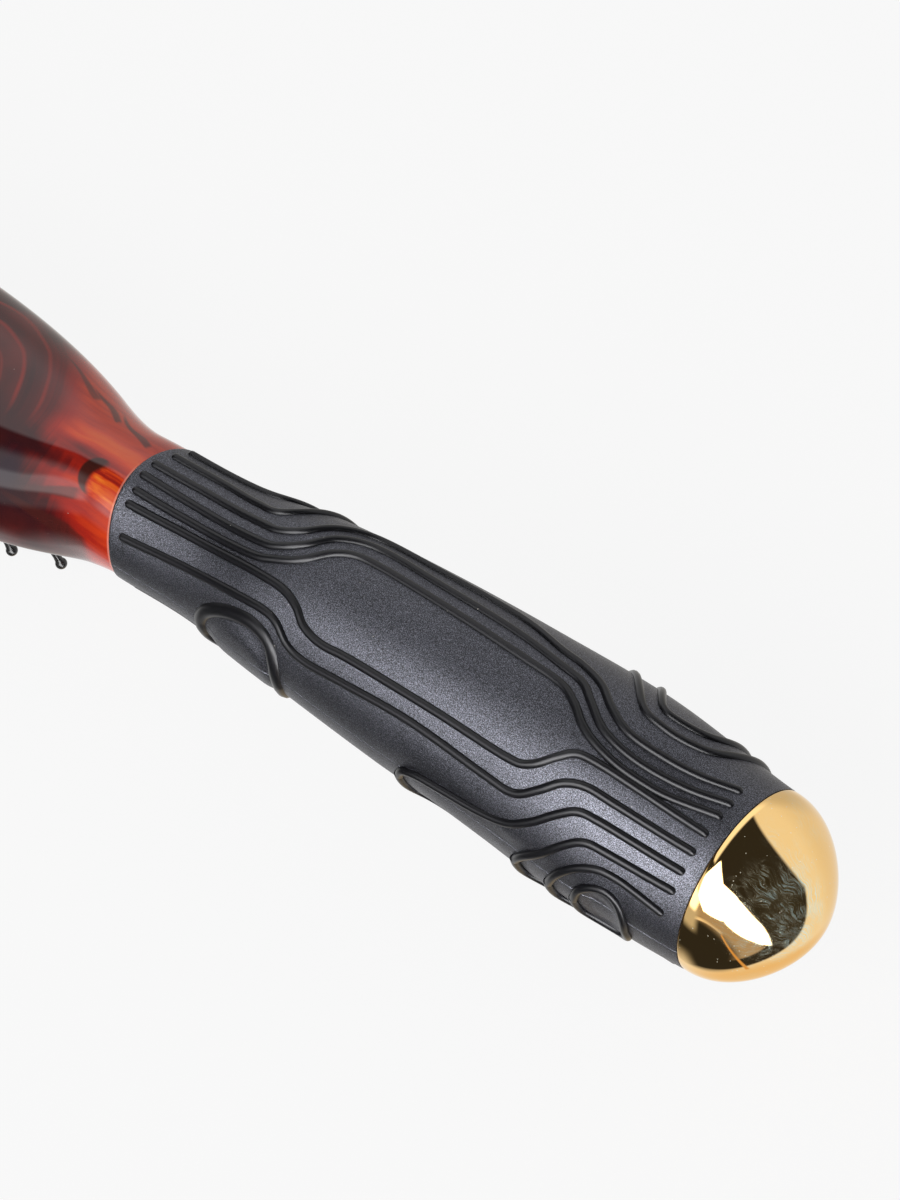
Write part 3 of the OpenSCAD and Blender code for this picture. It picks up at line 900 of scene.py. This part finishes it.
def neck_tone(n, at, reach, past):
    """From dark to amber towards the grip, with glows, and fine streaks along the neck."""
    tone = n.step(past, -5.5, 5.0, 0.0, 0.62)
    for centre, radii, amount in GLOWS:
        tone = n.math("MULTIPLY_ADD", n.spot(at, centre, radii, 1.3), amount, tone)
    streaks = n.step(n.noise(at, 0.9, detail=3, stretch=(0.07, 0.8, 0.8)), 0.3, 0.7, -0.07, 0.07)
    curtain = n.step(n.noise(reach, 0.5), 0.35, 0.65, -0.07, 0.07)
    tone = n.math("ADD", tone, n.product(streaks, n.step(past, 0, 5)))
    return n.math("ADD", tone, n.product(curtain, n.step(past, 3, -1)))


def over_bore(n, at, x, y, tone):
    """The tone with the bright streaks over the core's bore laid on it."""
    across = n.math("MULTIPLY_ADD", x, 0.03, y)
    streaks = n.lookup(across, BORE_STREAKS, BRIGHTEST_TONE)
    fine = n.step(n.noise(at, 1.8, detail=3, stretch=(0.06, 1, 1)), 0.3, 0.7, -0.16, 0.16)
    inside = n.product(n.step(x, -7.4, -5.8), n.step(across, -6.6, -6), n.step(across, -0.5, -1))
    return n.blend(inside, tone, n.math("ADD", streaks, fine))


def painted_bore_shade(n, at, x, z):
    """Painted shade: dark crescent of the bore's round end, which shows through the back of the
    neck.
    """
    around_opening = n.math("SUBTRACT", 1.0, n.spot(at, *BORE_OPENING, 0.4))
    end = n.product(n.spot(at, *BORE_END, 0.16), around_opening, n.step(x, -4.6, -6.2))
    return n.product(end, n.step(z, 2, 5, 0.0, 0.93))


def painted_edge_highlight(n, x, y):
    """Painted highlight: a light line along the plastic where it meets the rubber, whose edge bows
    as the grip's does.
    """
    bowed = 2 * EDGE_BOW / GRIP_NECK_R**2
    edge_x = n.math("MULTIPLY_ADD", n.product(y, y), bowed, -EDGE_BOW)
    to_edge = n.math("SUBTRACT", x, edge_x)
    return n.product(n.step(to_edge, -0.4, -0.12, 0.0, 0.4), n.step(y, 3, -1))


def shell_material():
    """Glossy tortoiseshell: dark with thin red rings on the head, red and amber on the neck."""
    n = Nodes(bpy.data.materials.new("tortoiseshell"))
    at = n.place()
    flowing = n.bend(at, 0.1, 1.6, detail=1)
    x, y, z = n.split(flowing)
    exact_x, exact_y, _ = n.split(at)
    outwards = n.vector("MULTIPLY_ADD", flowing, (1, 1, 0), (-SWIRL_CENTRE[0], -SWIRL_CENTRE[1], 0))
    reach = n.vector("LENGTH", outwards)
    turn = n.lookup(y, TURN_TO_RED, FURTHEST_TURN, interpolation="CARDINAL")
    past = n.math("SUBTRACT", x, turn)
    tone = over_bore(n, flowing, x, y, neck_tone(n, flowing, reach, past))
    neck = n.ramp(n.math("DIVIDE", tone, BRIGHTEST_TONE), *NECK_COLOURS)
    colour = n.blend(n.step(past, -9, -3.5), head_colour(n, flowing, y), neck)
    marks = n.product(swirl_marks(n, flowing, x, y, reach), n.step(past, 4, -1))
    colour = n.blend(marks, colour, RING_RED)
    colour = n.blend(n.product(n.spot(flowing, *PURPLE_SPOT, 1.2), 0.6), colour, PURPLE)
    bent = n.bend(at, 0.16, 1.6)
    strokes = [n.product(n.stroke(bent, *shape), depth) for *shape, depth in STROKES]
    colour = n.blend(n.largest(*strokes), colour, STROKE)
    # Painted shade of the bore's round end seen through the neck
    colour = n.blend(painted_bore_shade(n, at, exact_x, z), colour, BORE_SHADOW)
    # Painted highlight along the plastic's edge where it meets the rubber
    colour = n.blend(painted_edge_highlight(n, exact_x, exact_y), colour, EDGE_HIGHLIGHT)
    colour = n.blend(n.specks(at, 2.6, 0.05), colour, SHELL_DUST)
    inputs = {
        "Base Color": colour,
        "Roughness": 0.4,
        "Specular IOR Level": 0.0,
        "Coat Weight": 1.0,
        "Coat Roughness": 0.02,
        "Coat IOR": 1.5,
    }
    return n.finish(n.node("BsdfPrincipled", inputs))


def plain_black(name, level, roughness):
    """Black of one level with a faint grain."""
    n = Nodes(bpy.data.materials.new(name))
    grain = n.noise(n.place(), 1.5, detail=3)
    colour = n.ramp(grain, (0.3, level * 0.8), (0.7, level * 1.3))
    bump = n.node("Bump", {"Height": grain, "Strength": 0.15, "Distance": 0.0001})
    inputs = {"Base Color": colour, "Roughness": roughness, "Normal": bump.outputs["Normal"]}
    return n.finish(n.node("BsdfPrincipled", inputs))


# The photograph's camera: the handle's yaw, pitch and roll against it in degrees, and the distance
# to the middle of the grip's front edge, with the pixel of the frame where that lies
FRAME_W, FRAME_H = 900, 1200
FOCAL_PX = 6600
YAW, PITCH, ROLL = 31.785, 23.335, -18
NECK_PX = (151.35, 511.13)
NECK_DISTANCE = 996.4


def make_camera():
    along, level = heading(YAW, -PITCH), heading(YAW - 90)
    roll = math.radians(ROLL)
    side = math.cos(roll) * level + math.sin(roll) * np.cross(along, level)
    seen = np.stack([along, side, np.cross(along, side)], 1)
    off_middle = [NECK_PX[0] - FRAME_W / 2, NECK_PX[1] - FRAME_H / 2, FOCAL_PX]
    neck = np.array(off_middle) / FOCAL_PX * NECK_DISTANCE
    place = (ORIGIN - seen.T @ neck) * MM
    right, down, forward = seen
    camera = add("camera", bpy.data.cameras.new("camera"))
    camera.matrix_world = placed(place, right, -down, -forward)
    camera.data.sensor_width = 36
    camera.data.lens = FOCAL_PX / FRAME_H * camera.data.sensor_width
    camera.data.clip_start, camera.data.clip_end = 0.05, 20
    bpy.context.scene.camera = camera


# Half the floor's width, its colour, the share of it that glows by itself, and the plain light
FLOOR_HALF = 3000
PAPER = 0.94
FLOOR_GLOW = 0.95
DAYLIGHT = 0.6
# What polished surfaces see of the studio: a dim room with two white sides and a brighter panel
# overhead. Each is white where the direction's share along an axis is above a limit.
DIM, PANEL_LEVEL = 0.03, 1.25
NEAR_SIDE, FAR_SIDE = ((-0.18, 0.69, -0.7), 0.2), ((0.23, 0.97, -0.06), 0.66)
PANEL_EDGES = [((0.52, 0.77, 0.37), 0.0), ((-1, 0, 0), 0.27)]
EDGE_SOFTNESS, ARC_SOFTNESS = 0.03, 0.02
# Parts of the white that are darker: direction, the range of its share over which they fade in,
# and the share of each colour that is left
SHADES = [
    ((95, -32), 0.6, 0.97, (0.88, 0.85, 0.8)),
    ((122, -14), 0.78, 0.97, (0.75, 0.75, 0.75)),
    ((-35, -80), 0.86, 0.99, (0.93, 0.74, 0.48)),
]
# Light boxes: level, softness of the edges, and the corners as degrees from +X towards +Y and
# degrees above the floor
LIGHT_BOXES = [
    (0.6, 0.10, [(-92, -4), (-95, 22), (-140, 24), (-130, 0)]),
    (1.0, 0.10, [(-98, 34), (-104, 50), (-135, 54), (-155, 45), (-142, 32)]),
    (2.5, 0.06, [(-100, 18), (-99, 33), (-115, 38), (-142, 36), (-132, 19), (-115, 17)]),
    (13, 0.03, [(-27.5, -28), (-25.5, -5), (-29.5, 15), (-42, 42), (-60, 35), (-57, 14)]),
    (13, 0.03, [(-57, 14), (-45, 24), (-42, 42), (-67, 57), (-88, 45), (-88, 24)]),
    (8.5, 0.03, [(-86, 23), (-70, 40), (-65, 57), (-128, 76), (-122, 54), (-108, 35)]),
]
# Thin arcs of light: colour, middle of the circle that each lies on, its reach, the middle of the
# arc, and half its width and length, all in degrees
LIGHT_ARCS = [
    ((1.6, 1.5, 1.4), (93, 21), 146.4, (-78, 11), 1.8, 22),
    ((0.45, 0.38, 0.32), (88, 24), 134, (-64, 7), 9, 48),
    ((0.75, 0.42, 0.15), (49, 18), 109.7, (-53, -32), 0.8, 30),
]


def make_floor():
    """Pale floor that keeps a faint shadow and that polished surfaces don't see."""
    n = Nodes(bpy.data.materials.new("floor"))
    path = n.node("LightPath").outputs
    glow = n.node("Emission", {"Color": (*grey(PAPER), 1)})
    diffuse = n.node("BsdfDiffuse", {"Color": (*grey(PAPER), 1)})
    share = n.product(path["Is Camera Ray"], FLOOR_GLOW)
    seen = n.node("MixShader", {0: share, 1: diffuse.outputs[0], 2: glow.outputs[0]})
    clear = n.node("BsdfTransparent")
    by_ray = {0: path["Is Glossy Ray"], 1: seen.outputs[0], 2: clear.outputs[0]}
    material = n.finish(n.node("MixShader", by_ray))
    corners = FLOOR_HALF * np.array([(-1, -1, 0), (1, -1, 0), (1, 1, 0), (-1, 1, 0)])
    make_object("floor", [(corners - ORIGIN, [(0, 1, 2, 3)])], material)


def share_along(n, direction, axis):
    return n.vector("DOT_PRODUCT", direction, tuple(axis))


def facing(n, direction, axis, limit, soft=EDGE_SOFTNESS):
    """1 where the direction's share along the axis is above the limit."""
    return n.step(share_along(n, direction, axis), limit - soft, limit + soft)


def white_paper(n, direction):
    """The white and the dim parts of the studio."""
    along, across, up = n.split(direction)
    near_side = n.product(facing(n, direction, *NEAR_SIDE), n.step(across, -0.6, -0.4))
    below = n.product(n.step(up, -0.5, -0.97), n.step(along, -0.05, -0.3))
    white = n.largest(near_side, facing(n, direction, *FAR_SIDE), below)
    studio = n.blend(white, grey(DIM), grey(PAPER))
    panel = n.blend(n.step(up, 0, 0.5), grey(PAPER), grey(PANEL_LEVEL))
    inside = n.math("MINIMUM", *(facing(n, direction, *edge) for edge in PANEL_EDGES))
    return n.blend(inside, studio, panel)


def arc_of_light(n, direction, centre, reach, middle, half_width, half_length):
    """1 on part of a circle that lies at an angle of reach round the centre."""
    reach = math.radians(reach)
    width = math.radians(half_width) * math.sin(reach)
    off_centre = share_along(n, direction, heading(*centre))
    on_circle = n.band(off_centre, math.cos(reach), 1.5 * width, 0.5 * width)
    end = math.cos(math.radians(half_length))
    return n.product(on_circle, facing(n, direction, heading(*middle), end, ARC_SOFTNESS))


def light_box(n, direction, soft, corners):
    """1 inside a polygon of directions that has no dents."""
    directions = [heading(*corner) for corner in corners]
    walls = []
    for a, b in zip(directions, directions[1:] + directions[:1]):
        wall = np.cross(a, b)
        wall *= np.sign(wall @ sum(directions)) / np.linalg.norm(wall)
        walls.append(facing(n, direction, wall, 0, soft))
    return n.product(*walls)


def make_world():
    """Studio of white paper and lights for polished surfaces, and plain light for the others."""
    n = Nodes(bpy.data.worlds.new("studio"))
    path = n.node("LightPath").outputs
    direction = n.node("TexCoord").outputs["Generated"]
    studio = white_paper(n, direction)
    for middle, start, end, left in SHADES:
        fade = n.step(share_along(n, direction, heading(*middle)), start, end)
        studio = n.blend(fade, studio, left, "MULTIPLY")
    for colour, *shape in LIGHT_ARCS:
        studio = n.blend(arc_of_light(n, direction, *shape), studio, colour)
    for level, *shape in LIGHT_BOXES:
        studio = n.blend(light_box(n, direction, *shape), studio, grey(level))
    lit = n.blend(path["Is Glossy Ray"], grey(DAYLIGHT), studio)
    colour = n.blend(path["Is Camera Ray"], lit, grey(PAPER))
    bpy.context.scene.world = n.finish(n.node("Background", {"Color": colour}))


# The lamp over the -Y side, in whose place polished surfaces see the light boxes: direction of
# its middle, its turn, and its shift and size as shares of its distance from the grip's end
STRIP_SIDE, STRIP_UP = -73, 33
STRIP_TURN = -42
STRIP_SHIFT = (0.36, -0.33)
STRIP_SIZE = (2.7, 0.5)
STRIP_DISTANCE = 1.5
STRIP_POWER = 40


def strip_light():
    towards, across = heading(STRIP_SIDE, STRIP_UP), heading(STRIP_SIDE + 90)
    upwards = np.cross(towards, across)
    light = bpy.data.lights.new("strip", "AREA")
    light.shape, light.energy = "RECTANGLE", STRIP_POWER
    light.size, light.size_y = (share * STRIP_DISTANCE for share in STRIP_SIZE)
    lamp = add("strip", light)
    turn = math.radians(STRIP_TURN)
    long_side = math.cos(turn) * across + math.sin(turn) * upwards
    middle = towards + STRIP_SHIFT[0] * across + STRIP_SHIFT[1] * upwards
    place = (ORIGIN + np.array([GRIP_L, 0, 0])) * MM + STRIP_DISTANCE * middle
    lamp.matrix_world = placed(place, long_side, np.cross(towards, long_side), towards)
    lamp.visible_camera = lamp.visible_glossy = False


make_camera()
make_floor()
make_world()
strip_light()

tortoise, rubber, gold = shell_material(), rubber_material(), gold_material()
pad_black = plain_black("cushion_rubber", level=0.02, roughness=0.5)
pin_black = plain_black("pin_nylon", level=0.012, roughness=0.3)

for piece, node, slot in (
    (brush_body(tortoise), "brush_body", "tortoiseshell"),
    (grip_sleeve(rubber), "grip_sleeve", "grip_rubber"),
    (end_cap(gold), "end_cap", "gold_plate"),
):
    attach(piece, "handle")
    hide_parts(node)

for i in range(PIN_ROWS):
    pins = pin_row(i, pin_black)
    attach(pins, "pin_bed")
    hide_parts(f"pin_row_{i + 1:02d}")

pad = cushion(pad_black)
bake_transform(pad)
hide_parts("cushion")

bpy.context.scene.view_settings.view_transform = "Standard"
